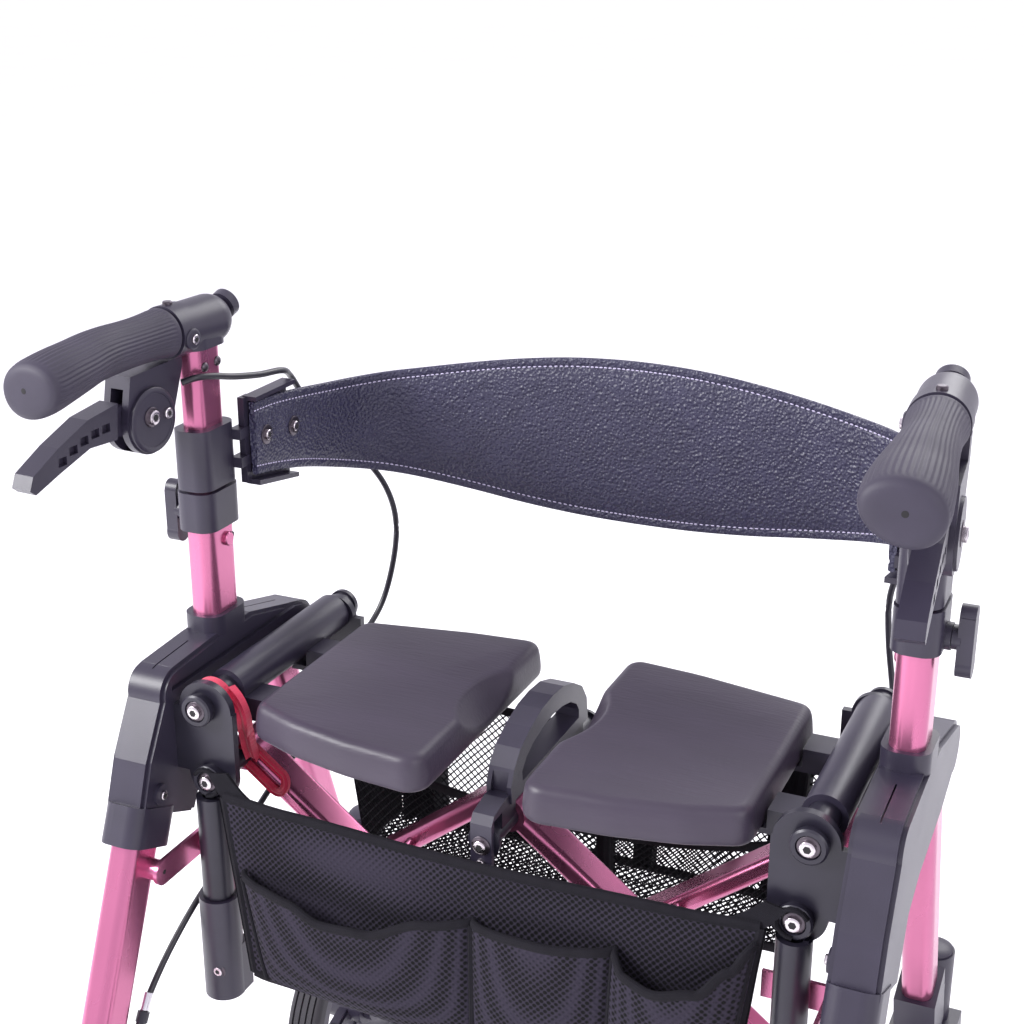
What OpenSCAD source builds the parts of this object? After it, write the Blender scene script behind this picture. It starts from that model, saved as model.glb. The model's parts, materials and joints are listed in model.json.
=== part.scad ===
// Folding rollator walker, in millimetres. X is left to right, Y is forward, Z is up, floor at z = 0.

/* [Frame] */
// height of the seat rails above the floor
seat_rail_z = 545; // [520:1:570]
// half distance between the two seat rails
seat_rail_x = 225; // [220:1:230]
// height of the lower rails, where the braces hang
low_rail_z = 489; // [486:1:492]
// half distance between the two lower rails
low_rail_x = 219; // [217:1:221]
// half distance between the two handle posts
side_x = 266; // [264:1:268]
// forward position of the handle posts
post_y = 78; // [74:1:82]
// turn of the handles, splayed outward to the rear, degrees
handle_yaw = 4; // [0:1:4]
// lean of the rear legs, degrees from upright
rear_lean = 23.2; // [23:0.1:23.4]
// lean of the front legs, degrees from upright
front_lean = 20; // [19:0.5:21]

/* [Folding braces] */
// slope of the brace tubes when the walker is open, in degrees
brace_angle = 37.5; // [37:0.5:38]
// height of a brace tube across its slope
brace_w = 15; // [14:1:16]
// depth of a brace tube, front to back
brace_t = 31; // [28:1:31]

/* [Wheels] */
// radius of all four tyres
wheel_r = 100; // [96:1:100]
// width of a tyre
tyre_w = 32; // [28:1:32]
// forward position of the front axles
front_axle_y = 262; // [260:1:264]
// forward position of the rear axles
rear_axle_y = -190; // [-192:1:-188]
// how far the front axle trails behind its swivel stem
trail = 38; // [34:1:40]

/* [Seat and straps] */
// gap between a seat pad's inner edge and the middle
pad_gap = 34; // [33:1:36]
// thickness of a seat pad
pad_t = 28; // [26:1:30]
// thickness of the backrest strap
strap_t = 5; // [4:0.5:6]
// forward reach of the backrest strap
strap_reach = 286; // [280:1:290]

/* [Hidden] */
shift_y = -36;
sr = seat_rail_z;
axle_z = wheel_r;
lrx = low_rail_x;
lrz = low_rail_z;
brace_l = lrx / cos(brace_angle);
mid_z = lrz - lrx * tan(brace_angle);
cross_z = (lrz + mid_z) / 2;
plane_a = 49;
plane_b = 110;
stem_y = front_axle_y + trail;
leg_s = sqrt(pow(sr - 60 - axle_z, 2) + pow(-25 - rear_axle_y, 2));
pink = [0.66, 0.27, 0.42];
black = [0.16, 0.15, 0.18];
rubber = [0.25, 0.23, 0.26];
cloth = [0.12, 0.12, 0.16];
pad_col = [0.27, 0.24, 0.29];
red = [0.85, 0.10, 0.28];
grey = [0.72, 0.72, 0.76];

// ---------- helpers ----------
module at() translate([0, shift_y, 0]) children();
module flip() mirror([1, 0, 0]) children();

// rectangle with round corners, centred
module rr(w, h, r) {
  square([w - 2 * r, h], center = true);
  square([w, h - 2 * r], center = true);
  for (i = [-1, 1])
    for (j = [-1, 1])
      translate([i * (w / 2 - r), j * (h / 2 - r)]) circle(r, $fn = 48);
}

// round bar along Y from y1 to y2
module ybar(x, z, y1, y2, r, n = 64)
  translate([x, y1, z]) rotate([-90, 0, 0]) cylinder(h = y2 - y1, r = r, $fn = n);

// round bar along X from x1 to x2
module xbar(y, z, x1, x2, r, n = 64)
  translate([x1, y, z]) rotate([0, 90, 0]) cylinder(h = x2 - x1, r = r, $fn = n);

// side profile (points in Y, Z) made solid from x1 to x2
module side_plate(x1, x2)
  translate([x1, 0, 0]) rotate([90, 0, 90]) linear_extrude(x2 - x1) children();

// rear profile (points in X, Z) made solid from y1 to y2
module rear_plate(y1, y2)
  translate([0, y2, 0]) rotate([90, 0, 0]) linear_extrude(y2 - y1) children();

// closed skin over a list of rings of points
function flat(l) = [for (a = l) for (b = a) b];
function skin_faces(n, m) = concat(
  [for (i = [0:n - 2]) for (j = [0:m - 1])
    [i * m + j, i * m + (j + 1) % m, (i + 1) * m + j]],
  [for (i = [0:n - 2]) for (j = [0:m - 1])
    [i * m + (j + 1) % m, (i + 1) * m + (j + 1) % m, (i + 1) * m + j]],
  [[for (j = [m - 1:-1:0]) j]],
  [[for (j = [0:m - 1]) (n - 1) * m + j]]
);
module skin(rings)
  polyhedron(points = flat(rings), faces = skin_faces(len(rings), len(rings[0])), convexity = 8);

// smooth curve through a list of points
function cr(a, b, c, d, t) = 0.5 * (2 * b + (c - a) * t + (2 * a - 5 * b + 4 * c - d) * t * t
  + (3 * b - a - 3 * c + d) * t * t * t);
function pick(p, i) = p[max(0, min(len(p) - 1, i))];
function smooth(p, k) = concat(
  [for (i = [0:len(p) - 2]) for (j = [0:k - 1])
    cr(pick(p, i - 1), pick(p, i), pick(p, i + 1), pick(p, i + 2), j / k)],
  [p[len(p) - 1]]
);
function unit(v) = v / norm(v);
function dirs(p) = [for (i = [0:len(p) - 1]) unit(pick(p, i + 1) - pick(p, i - 1))];
function ring_at(c, d, r, m) =
  let (s = abs(d[2]) < 0.8 ? unit(cross(d, [0, 0, 1])) : unit(cross(d, [1, 0, 0])), u = cross(s, d))
  [for (j = [0:m - 1]) c + r * (cos(360 * j / m) * u + sin(360 * j / m) * s)];

// ---------- braces ----------
// one brace tube along +X with an eye at each end, centred on Y = 0
module brace_bar(b1, b2) {
  difference() {
    union() {
      translate([8, 0, 0]) rotate([90, 0, 90]) linear_extrude(brace_l - 16)
        rr(brace_t, brace_w, 5.5);
      ybar(0, 0, -brace_t / 2, brace_t / 2, 13.5);
      ybar(brace_l, 0, -brace_t / 2, brace_t / 2, 13.5);
    }
    ybar(0, 0, -20, 20, b1);
    if (b2 > 0) ybar(brace_l, 0, -20, 20, b2);
  }
}

// brace_a: from the left lower rail down to the middle, with the middle and crossing pins
module brace_a() color(pink) at() {
  translate([-lrx, plane_a, lrz]) rotate([0, brace_angle, 0]) brace_bar(8.08, 0);
  ybar(0, mid_z, plane_a, plane_b + brace_t / 2 + 3, 8);
  ybar(-lrx / 2, cross_z, plane_a, plane_b + brace_t / 2 + 3, 4.5);
}
// brace_b: from the left slider up to the middle tube
module brace_b() color(pink) at() {
  difference() {
    translate([-lrx, plane_b, mid_z]) rotate([0, -brace_angle, 0]) brace_bar(4, 9.08);
    ybar(-lrx / 2, cross_z, plane_b - 20, plane_b + 20, 4.58);
  }
  ybar(-lrx, mid_z, 9, plane_b + brace_t / 2, 6);
  ybar(-lrx, mid_z, 1.2, plane_b, 4);
}
// brace_c: from the middle tube down to the right slider, with the crossing pin
module brace_c() color(pink) at() {
  translate([0, plane_a, lrz]) rotate([0, brace_angle, 0]) brace_bar(9.08, 4);
  ybar(lrx, mid_z, 9, plane_a + brace_t / 2, 6);
  ybar(lrx, mid_z, 1.2, plane_a, 4);
  ybar(lrx / 2, cross_z, plane_a, plane_b + brace_t / 2 + 3, 4.5);
}
// brace_d: from the middle pin up to the right lower rail
module brace_d() color(pink) at() {
  difference() {
    translate([0, plane_b, mid_z]) rotate([0, -brace_angle, 0]) brace_bar(8.08, 8.08);
    ybar(lrx / 2, cross_z, plane_b - 20, plane_b + 20, 4.58);
  }
}

// ---------- middle ----------
module centre_tube() color(black) at() {
  ybar(0, lrz, -2, 184, 9);
  ybar(0, lrz, -5, -2, 12);
  ybar(0, lrz, 184, 187, 12);
  for (y = [[8, 23], [67, 25], [128, 30]])
    translate([-8, y[0], lrz + 4]) cube([16, y[1], 13]);
}

// arched grab handle that lifts the middle and folds the walker
module lift_handle() color(black) at() {
  difference() {
    side_plate(-9.5, 9.5) difference() {
      polygon([
        [21, lrz + 17], [20, lrz + 30], [25, lrz + 42], [36, lrz + 53], [54, lrz + 61],
        [74, lrz + 66.5], [94, lrz + 68], [114, lrz + 66.5], [134, lrz + 60], [151, lrz + 50],
        [161, lrz + 36], [164, lrz + 17]
      ]);
      polygon([
        [40, lrz + 26], [39, lrz + 34], [46, lrz + 41.5], [58, lrz + 47], [76, lrz + 51],
        [94, lrz + 52.5], [112, lrz + 51], [128, lrz + 47], [140, lrz + 40], [145, lrz + 33],
        [145, lrz + 26]
      ]);
    }
    for (i = [-4:4])
      translate([-6.5, 92 + i * 9, lrz + 43]) cube([13, 4, 11 - abs(i) * 1.1]);
    // long recess in the rear of the near leg
    translate([-6, 15, lrz + 20]) cube([12, 9, 22]);
  }
  // tongue over the rear end of the middle tube
  side_plate(-8, 8) polygon([
    [-9.5, lrz - 20], [-5.2, lrz - 20], [-5.2, lrz + 17.05], [24, lrz + 17.05], [24, lrz + 24],
    [14, lrz + 25], [-5, lrz + 21], [-9.5, lrz + 15]
  ]);
}

// seat pad: right-hand one; the left is its mirror
module pad_2d() translate([pad_gap, 0]) polygon([
  [0, -12], [2, -22], [8, -29], [18, -31], [64, -27], [108, -18], [138, -8], [148, -1],
  [152, 8], [152, 150], [149, 160], [140, 166], [100, 175], [50, 183], [20, 186], [8, 183],
  [1, 175], [0, 164]
]);
module pad() {
  difference() {
    translate([0, 0, sr + 10 - pad_t]) linear_extrude(pad_t) pad_2d();
    // dished hollow beside the lifting handle
    translate([pad_gap - 68, 82, sr + 61]) sphere(100, $fn = 160);
    // relief that keeps the two lower inner edges apart while they rise
    translate([pad_gap, -50, sr + 10 - pad_t]) rotate([0, 45, 0]) translate([-6, 0, -6])
      cube([12, 250, 12]);
  }
}
module seat_pad_left() color(pad_col) at() flip() pad();
module seat_pad_right() color(pad_col) at() pad();

// hinge arms that carry a pad on its rail
module base() {
  difference() {
    union() {
      ybar(seat_rail_x, sr, 27.5, 183, 15.5);
      for (y = [28, 118]) {
        translate([160, y, sr - 22.4]) cube([seat_rail_x - 160, 26, 4.2]);
        translate([187.6, y, sr - 18.4]) cube([24, 26, 14]);
      }
      translate([pad_gap + 26, 6, sr - 22.4]) cube([110, 142, 4.2]);
    }
    ybar(seat_rail_x, sr, 0, 200, 11.08);
  }
}
module seat_base_left() color(black) at() flip() base();
module seat_base_right() color(black) at() base();

// flat organiser with three open pockets, facing the user
module organiser_bag() color(cloth) at() {
  difference() {
    rear_plate(-24, -20)
      polygon([[-200, 480], [200, 480], [196, 420], [184, 341], [-184, 341], [-196, 420]]);
  }
  difference() {
    rear_plate(-46, -24)
      polygon([[-192, 440], [-60, 425], [75, 425], [188, 440], [180, 341], [-180, 341]]);
    translate([-178, -43, 344]) cube([114, 20, 120]);
    translate([-61, -43, 344]) cube([132, 20, 120]);
    translate([74, -43, 344]) cube([102, 20, 120]);
    translate([-128, -60, 454]) rotate([-90, 0, 0]) cylinder(h = 14, r = 36);
    translate([128, -60, 454]) rotate([-90, 0, 0]) cylinder(h = 14, r = 36);
  }
  for (s = [-1, 1]) {
    rear_plate(-20, -17.5) polygon([[s * 166, 476], [s * 196, 476], [s * 212, 497], [s * 198, 506]]);
  }
}

// shopping net slung between the two sides, in front of the braces
module net_bag() color(cloth) at() {
  difference() {
    translate([-190, 134, 352]) cube([380, 86, 122]);
    translate([-187, 137, 355]) cube([374, 80, 150]);
    translate([-175, 130, 420]) cube([350, 8, 60]);
  }
  for (s = [-1, 1])
    translate([s > 0 ? 187 : -210, 140, 466]) cube([23, 34, 3]);
}

// backrest strap: a band on edge that runs forward from each post and across
strap_half = [
  [240, 104, 142, 199], [241, 135, 136, 197], [240, 170, 128, 193], [236, 205, 118, 189],
  [226, 238, 108, 187], [208, 260, 101, 188], [182, 273, 95, 191], [140, 281, 88, 198],
  [96, 284, 82, 205], [50, 286, 78, 210], [0, 286, 77, 212]
];
strap_path = concat(
  [for (p = strap_half) [-p[0], p[1], p[2], p[3]]],
  [for (i = [len(strap_half) - 2:-1:0]) strap_half[i]]
);
strap_fine = smooth(strap_path, 3);
module backrest_strap() color(cloth) at() {
  skin([for (i = [0:len(strap_fine) - 1])
    let (
      a = pick(strap_fine, i - 1), b = pick(strap_fine, i + 1), p = strap_fine[i],
      d = unit([b[0] - a[0], b[1] - a[1], 0]), n = [-d[1], d[0], 0],
      k = strap_reach / 286, c = [p[0], p[1] * k, sr], h = strap_t / 2
    )
    [
      c + n * h + [0, 0, p[2]], c + n * h + [0, 0, p[3]],
      c - n * h + [0, 0, p[3]], c - n * h + [0, 0, p[2]]
    ]]);
}

// webbing loop that holds the walker shut once folded, on the left seat rail
module lock_strap() color(red) at() {
  difference() {
    ybar(-seat_rail_x, sr, 4, 26, 14.6);
    ybar(-seat_rail_x, sr, 0, 30, 11.1);
  }
  translate([-210.8, 8, 489]) cube([2.8, 18, 54]);
  translate([-210.7, 9, 482]) cube([2.6, 21, 33]);
  translate([-190, 31, 470]) rotate([90, 0, 0]) linear_extrude(3) rotate(-brace_angle)
    difference() {
      rr(50, 24, 11.9);
      rr(38, 13, 6.4);
    }
}

// ---------- side frames (right-hand shapes; the left ones are mirrored) ----------
module housing_2d(e) {
  difference() {
    union() {
      translate([176, sr - 12]) circle(20 - e, $fn = 64);
      translate([2, sr + 4]) circle(20 - e, $fn = 64);
      polygon([
        [0, sr + 24 - e], [52, sr + 27 - e], [104, sr + 27 - e], [178, sr + 8 - e],
        [188, sr - 26 + e], [140, sr - 40 + e], [60, sr - 50 + e], [30, sr - 62 + e],
        [10, sr - 100 + e], [-53 + e, sr - 72], [-40 + e, sr - 36], [-18 + e, sr + 3]
      ]);
    }
    translate([1, sr - 45]) circle(e > 0 ? 0.1 : 0.1, $fn = 16);
  }
}
module housing() {
  difference() {
    union() {
      side_plate(side_x - 13.5, side_x + 13.5) housing_2d(0);
      side_plate(side_x - 16.5, side_x + 16.5) housing_2d(3);
      // collar at the foot of the post
      translate([side_x, post_y, sr + 18]) linear_extrude(22) rr(33, 46, 12);
      // ring around the top of the rear leg
      leg_at() translate([0, 0, -46]) linear_extrude(30) rr(35, 50, 12);
      // screw boss on the inner side of the ring
      xbar(-31, sr - 64, side_x - 19.5, side_x - 10, 8, 48);
    }
    // socket of the post
    translate([side_x, post_y, sr - 6]) linear_extrude(60) rr(24.1, 38.1, 10.05);
    // sockets of the legs
    leg_at() translate([0, 0, -60]) linear_extrude(72) rr(24.1, 34.1, 8.05);
    front_at() translate([0, 0, -60]) linear_extrude(72) rr(24.1, 32.1, 8.05);
    // seam between the two shell halves
    translate([side_x - 0.6, -100, sr + 22.5]) cube([1.2, 140, 30]);
    translate([side_x - 0.6, 112, sr + 8]) cube([1.2, 50, 30]);
    // long dark groove above the seat rail
    translate([side_x - 20, -6, sr + 8]) cube([7, 190, 4]);
  }
}
module leg_at() translate([side_x, -25, sr - 60]) rotate([-rear_lean, 0, 0]) children();
module front_at() translate([side_x, 150, sr - 20]) rotate([front_lean, 0, 0]) children();
module housing_left() color(black) at() flip() housing();
module housing_right() color(black) at() housing();

module post() {
  translate([side_x, post_y, sr - 5.9]) linear_extrude(138) difference() {
    rr(24, 38, 10);
    rr(19.6, 33.6, 8);
  }
}
module outer_post_left() color(pink) at() flip() post();
module outer_post_right() color(pink) at() post();

// rear leg with its bent side strut
module rleg() {
  leg_at() translate([0, 0, -300]) linear_extrude(311.9) difference() {
    rr(24, 34, 8);
    rr(20, 30, 6);
  }
  // strut: forward from a bush on the leg, then inward past the guide tube
  xbar(-44, 425, 243.5, side_x - 12, 8, 48);
  side_plate(240.5, 243.5) {
    translate([-44, 425]) circle(10, $fn = 48);
    translate([-44, 415]) square([52, 20]);
  }
  translate([196, 5, 415]) cube([47, 3, 20]);
}
module rear_leg_left() color(pink) at() flip() rleg();
module rear_leg_right() color(pink) at() rleg();

module fleg() {
  front_at() translate([0, 0, -300]) linear_extrude(311.9) difference() {
    rr(24, 32, 8);
    rr(20, 28, 6);
  }
}
module front_leg_left() color(pink) at() flip() fleg();
module front_leg_right() color(pink) at() fleg();

module srail() {
  ybar(seat_rail_x, sr, -13, 200, 11);
  ybar(seat_rail_x, sr, 200, 204, 12.5);
}
module seat_rail_left() color(black) at() flip() srail();
module seat_rail_right() color(black) at() srail();

// plates that tie both rails to the housing, the lower rail and the guide tube
module bracket_2d(r) {
  translate([seat_rail_x - 3, sr - 2]) circle(r, $fn = 64);
  translate([lrx, lrz + 2]) circle(20, $fn = 64);
  translate([lrx - 20, lrz + 2]) square([side_x - 16.55 - lrx + 20, sr - lrz - 4]);
}
module bracket() {
  difference() {
    union() {
      rear_plate(-6, 0) bracket_2d(22);
      rear_plate(184, 190) bracket_2d(16);
    }
    ybar(seat_rail_x, sr, -20, 195, 11.05);
  }
  ybar(lrx, lrz, 0, 184, 8);
  for (y = [-9, 190]) ybar(lrx, lrz, y, y + 3, 11);
  for (y = [-13, 193]) ybar(lrx, lrz, y, y + 4, 6);
  difference() {
    union() {
      translate([lrx, -8, 392]) cylinder(h = 84, r = 12, $fn = 64);
      rear_plate(-12, -6) translate([lrx - 10, 455]) square([20, 22]);
    }
    translate([lrx, -8, 391]) cylinder(h = 90, r = 7.6, $fn = 64);
  }
}
module bracket_left() color(black) at() flip() bracket();
module bracket_right() color(black) at() bracket();

// telescoping rod between guide tube and slider
module grod() translate([lrx, -8, 324]) cylinder(h = 143, r = 7.3, $fn = 64);
module guide_rod_left() color(grey) at() flip() grod();
module guide_rod_right() color(grey) at() grod();

// sleeve that carries the lower end of a brace and runs on the rod
module slide_block() {
  difference() {
    union() {
      translate([lrx, -8, 306]) cylinder(h = 85.5, r = 15.5, $fn = 64);
      translate([lrx - 15.3, -8, 306.5]) cube([30.6, 15.3, 42]);
    }
    translate([lrx, -8, 313]) cylinder(h = 90, r = 7.6, $fn = 64);
    ybar(lrx, mid_z, 0.9, 12, 4.08);
  }
}
module slider_left() color(black) at() flip() slide_block();
module slider_right() color(black) at() slide_block();

module collar() {
  difference() {
    union() {
      translate([side_x, post_y, sr + 108]) linear_extrude(30) rr(32, 47, 12);
      xbar(post_y, sr + 116, side_x + 12, side_x + 20, 9, 48);
    }
    translate([side_x, post_y, sr + 100]) linear_extrude(32.1) rr(24.1, 38.1, 10.05);
    translate([side_x, post_y, sr + 100]) linear_extrude(60) rr(19.6, 33.6, 8);
    xbar(post_y, sr + 116, side_x + 13.4, side_x + 30, 4.08, 48);
  }
}
module clamp_collar_left() color(black) at() flip() collar();
module clamp_collar_right() color(black) at() collar();

// wing knob that clamps the height
module wing() {
  xbar(post_y, sr + 116, side_x + 14, side_x + 26, 4, 48);
  xbar(post_y, sr + 116, side_x + 20.4, side_x + 26, 8, 48);
  side_plate(side_x + 24, side_x + 34) {
    translate([post_y, sr + 132]) circle(7, $fn = 48);
    translate([post_y, sr + 98]) circle(8, $fn = 48);
    translate([post_y - 7.5, sr + 98]) square([15, 34]);
  }
}
module height_knob_left() color(black) at() flip() wing();
module height_knob_right() color(black) at() wing();

// rear fork and front swivel head
module feet() {
  difference() {
    union() {
      leg_at() translate([-15.5, -21, -313]) cube([31, 42, 55]);
      leg_at() translate([-22, -16.5, -311]) cube([44, 33, 13.5]);
      for (s = [-1, 1])
        side_plate(side_x + s * 22 - 3, side_x + s * 22 + 3) {
          leg_side() translate([-13.5, -leg_s]) square([27, leg_s - 290]);
          translate([rear_axle_y, axle_z]) circle(15, $fn = 64);
        }
      side_plate(side_x - 13, side_x + 13)
        leg_side() polygon([[17, -292], [38, -306], [43, -322], [40, -326], [17, -314]]);
    }
    leg_at() translate([0, 0, -300.05]) linear_extrude(90) rr(24.1, 34.1, 8.05);
    leg_at() rotate([0, 90, 0]) translate([318, 34, -30]) cylinder(h = 60, r = 3.08, $fn = 48);
    leg_at() translate([-7.2, 22.3, -337]) cube([14.4, 30, 60]);
  }
  xbar(rear_axle_y, axle_z, side_x - 20.5, side_x + 20.5, 5, 64);
  difference() {
    union() {
      front_at() translate([-16, -20, -312]) cube([32, 40, 66]);
      translate([side_x, stem_y, sr - 322]) cylinder(h = 61, r = 17, $fn = 64);
      translate([side_x - 13, 254, sr - 317]) cube([26, stem_y - 254, 34]);
    }
    front_at() translate([0, 0, -300.05]) linear_extrude(90) rr(24.1, 32.1, 8.05);
    translate([side_x, stem_y, sr - 330]) cylinder(h = 58, r = 8.06, $fn = 64);
  }
}
module leg_side() translate([-25, sr - 60]) rotate(-rear_lean) children();
module leg_feet_left() color(black) at() flip() feet();
module leg_feet_right() color(black) at() feet();

// swivel fork of a front wheel
module fork() {
  translate([side_x, stem_y, sr - 338]) cylinder(h = 62, r = 8, $fn = 64);
  translate([side_x, stem_y, sr - 338]) cylinder(h = 15.6, r = 19, $fn = 64);
  difference() {
    side_plate(side_x - 26, side_x + 26) {
      translate([front_axle_y - 10, sr - 338]) square([stem_y - front_axle_y + 22, 15.6]);
      polygon([
        [front_axle_y - 14, axle_z], [front_axle_y + 14, axle_z - 4],
        [stem_y + 16, sr - 338], [stem_y + 12, sr - 322.4], [front_axle_y - 10, sr - 322.4]
      ]);
      translate([front_axle_y, axle_z]) circle(14.5, $fn = 64);
    }
    side_plate(side_x - 19, side_x + 19) {
      translate([front_axle_y, axle_z]) circle(104, $fn = 96);
      translate([front_axle_y - 30, 0]) square([100, 150]);
    }
  }
  xbar(front_axle_y, axle_z, side_x - 19, side_x + 19, 5, 64);
}
module caster_fork_left() color(black) at() flip() fork();
module caster_fork_right() color(black) at() fork();

// spoked wheel body and its tyre, axle along X
module rim(y) translate([side_x, y, axle_z]) rotate([0, 90, 0]) difference() {
  union() {
    rotate_extrude($fn = 96) {
      translate([72, -13]) square([9, 26]);
      translate([5.06, -18]) square([15, 36]);
    }
    for (i = [0:4]) rotate(i * 72) {
      translate([16, -6, -6]) cube([58, 12, 12]);
      translate([16, -9, -4]) cube([20, 18, 8]);
    }
  }
  translate([0, 0, -40]) cylinder(h = 80, r = 5.06, $fn = 64);
}
module tyre(y) translate([side_x, y, axle_z]) rotate([0, 90, 0]) difference() {
  rotate_extrude($fn = 96) {
    translate([81.1, -13]) square([9, 26]);
    translate([88, -tyre_w / 2]) square([wheel_r - 94, tyre_w]);
    translate([88, -tyre_w / 2 + 5]) square([wheel_r - 88, tyre_w - 10]);
    for (s = [-1, 1]) translate([wheel_r - 6, s * (tyre_w / 2 - 6)]) circle(6, $fn = 32);
  }
  for (s = [-9.5, -3.2, 3.2, 9.5]) rotate_extrude($fn = 96)
    translate([wheel_r - 2, s - 0.9]) square([4, 1.8]);
}
module rear_rim_left() color(black) at() flip() rim(rear_axle_y);
module rear_rim_right() color(black) at() rim(rear_axle_y);
module rear_tyre_left() color(rubber) at() flip() tyre(rear_axle_y);
module rear_tyre_right() color(rubber) at() tyre(rear_axle_y);
module front_rim_left() color(black) at() flip() rim(front_axle_y);
module front_rim_right() color(black) at() rim(front_axle_y);
module front_tyre_left() color(rubber) at() flip() tyre(front_axle_y);
module front_tyre_right() color(rubber) at() tyre(front_axle_y);

// rear brake arm with its pivot pin and shoe
module barm() {
  leg_at() rotate([0, 90, 0]) translate([318, 34, -12]) cylinder(h = 24, r = 3, $fn = 48);
  side_plate(side_x - 6.5, side_x + 6.5) leg_side() {
    translate([34, -318]) circle(5.6, $fn = 48);
    polygon([[28, -318], [40, -316], [44, -284], [38, -280]]);
    polygon([[32, -316], [38, -311], [70, -327], [63, -335]]);
  }
  side_plate(side_x - 15, side_x + 15) leg_side() translate([66.4, -332.5]) circle(5.8, $fn = 48);
}
module brake_arm_left() color(black) at() flip() barm();
module brake_arm_right() color(black) at() barm();

// sliding inner post
module ipost() translate([side_x, post_y, sr + 4]) linear_extrude(262) difference() {
  rr(19, 33, 7.7);
  rr(15, 29, 5.7);
}
module inner_post_left() color(pink) at() flip() ipost();
module inner_post_right() color(pink) at() ipost();

// turns a handle about its post, so its rear end splays outward
module yawed()
  translate([side_x, post_y, 0]) rotate([0, 0, handle_yaw]) translate([-side_x, -post_y, 0])
    children();

// elbow cover, clamp ring, bag hook and brake body on top of the post
module head() {
  hx = side_x + 2;
  bx = side_x + 10;
  gz = sr + 262;
  difference() {
    union() {
      yawed() {
        ybar(hx, gz, 44, 92, 18.5);
        ybar(hx, gz, 43, 60, 19.5);
        translate([hx, 92, gz]) sphere(18.5, $fn = 64);
        // hook knob
        translate([hx, 92, gz - 1]) rotate([-70, 0, 0]) cylinder(h = 22, r = 7, $fn = 48);
        translate([hx, 92, gz - 1]) rotate([-70, 0, 0]) translate([0, 0, 20])
          cylinder(h = 7, r = 10.8, $fn = 64);
        // brake body
        side_plate(bx - 11, bx + 11) {
          translate([20, sr + 205]) circle(25, $fn = 96);
          polygon([
            [-5, sr + 208], [2, sr + 240], [43.2, sr + 242], [43.6, sr + 256], [58, sr + 256],
            [58, sr + 236], [45, sr + 203]
          ]);
        }
        side_plate(bx - 13, bx + 13) translate([20, sr + 205]) circle(22, $fn = 96);
      }
      translate([side_x, post_y, gz - 16]) linear_extrude(20) rr(28, 42, 12);
    }
    // post socket
    translate([side_x, post_y, sr + 200]) linear_extrude(66.1) rr(19.1, 33.1, 7.75);
    // slot for the lever
    yawed() side_plate(bx - 5.4, bx + 5.4) {
      translate([20, sr + 205]) circle(18, $fn = 96);
      polygon([[22, sr + 186], [22, sr + 226], [-24, sr + 236], [-24, sr + 176]]);
    }
    // recess on the inner face
    yawed() xbar(18, sr + 207, bx - 16, bx - 11, 5, 48);
  }
  yawed() {
    ybar(hx, gz, 20, 44, 10);
    xbar(20, sr + 205, bx - 11, bx + 11, 4, 48);
  }
}
module handle_head_left() color(black) at() flip() head();
module handle_head_right() color(black) at() head();

// palm-shaped grip: [forward position, half width, height up, height down, drop]
grip_rings = [
  [-94, 12, 10, 8, -8], [-93, 18, 14, 14, -8], [-89, 22, 17, 19, -8], [-80, 23, 19, 21, -7],
  [-66, 23, 19, 20, -5], [-50, 22, 19, 18, -3], [-34, 20, 18, 17, -1], [-18, 18.5, 17.5, 16.5, 0],
  [0, 17.5, 17, 16, 0], [18, 17.5, 17, 16, 0], [34, 18.5, 18, 17, 0], [40, 19, 18.6, 18, 0],
  [42.8, 17, 16.6, 16, 0]
];
module hold() {
  hx = side_x + 2;
  gz = sr + 262;
  yawed() difference() {
    skin([for (g = grip_rings) [for (j = [0:27])
      let (a = 360 * j / 28, c = cos(a), s = sin(a))
      [hx + g[1] * c, g[0], gz + g[4] + (s > 0 ? g[2] : g[3]) * s]]]);
    ybar(hx, gz, 19.5, 50, 10.05);
  }
}
module grip_left() color(rubber) at() flip() hold();
module grip_right() color(rubber) at() hold();

// brake lever, hooked around its pivot inside the brake body
module lever() {
  bx = side_x + 10;
  yawed() difference() {
    union() {
      side_plate(bx - 5, bx + 5) {
        translate([20, sr + 205]) circle(11, $fn = 64);
        polygon([
          [18, sr + 194], [22, sr + 216], [-12, sr + 221], [-20, sr + 219], [-20, sr + 199],
          [-8, sr + 199]
        ]);
      }
      side_plate(bx - 8, bx + 8) polygon([
        [-9.5, sr + 224], [-40, sr + 220], [-70, sr + 208.5], [-95, sr + 196], [-99, sr + 187],
        [-94, sr + 183], [-70, sr + 191], [-40, sr + 200], [-12.5, sr + 198.5]
      ]);
    }
    xbar(20, sr + 205, bx - 20, bx + 20, 4.08, 48);
    for (i = [0:4], s = [-1, 1])
      translate([bx + s * 7.5 - 3, -27 - i * 11, sr + 206.5 - i * i * 0.7]) cube([6, 8, 6]);
  }
}
module brake_lever_left() color(black) at() flip() lever();
module brake_lever_right() color(black) at() lever();

// sleeve on the inner post with the channel that holds the strap's end
module holder() {
  difference() {
    union() {
      translate([side_x, post_y, sr + 140]) linear_extrude(46) rr(30, 46, 11);
      translate([243.6, 92, sr + 150]) cube([9.4, 19, 8]);
      translate([243.6, 92, sr + 172]) cube([9.4, 19, 8]);
      translate([244.4, 100, sr + 136]) cube([5.4, 12, 66.4]);
      side_plate(244.2, 248.2)
        polygon([[104.3, sr + 134.5], [159.6, sr + 124.8], [159.6, sr + 202], [104.3, sr + 202]]);
      side_plate(236, 247.6)
        polygon([[104, sr + 134], [160, sr + 124], [160, sr + 127.5], [104, sr + 138]]);
      translate([236, 104, sr + 199.6]) cube([11.6, 56, 3.4]);
    }
    translate([side_x, post_y, sr + 130]) linear_extrude(70) rr(19.1, 33.1, 7.75);
  }
}
module strap_holder_left() color(black) at() flip() holder();
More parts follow.
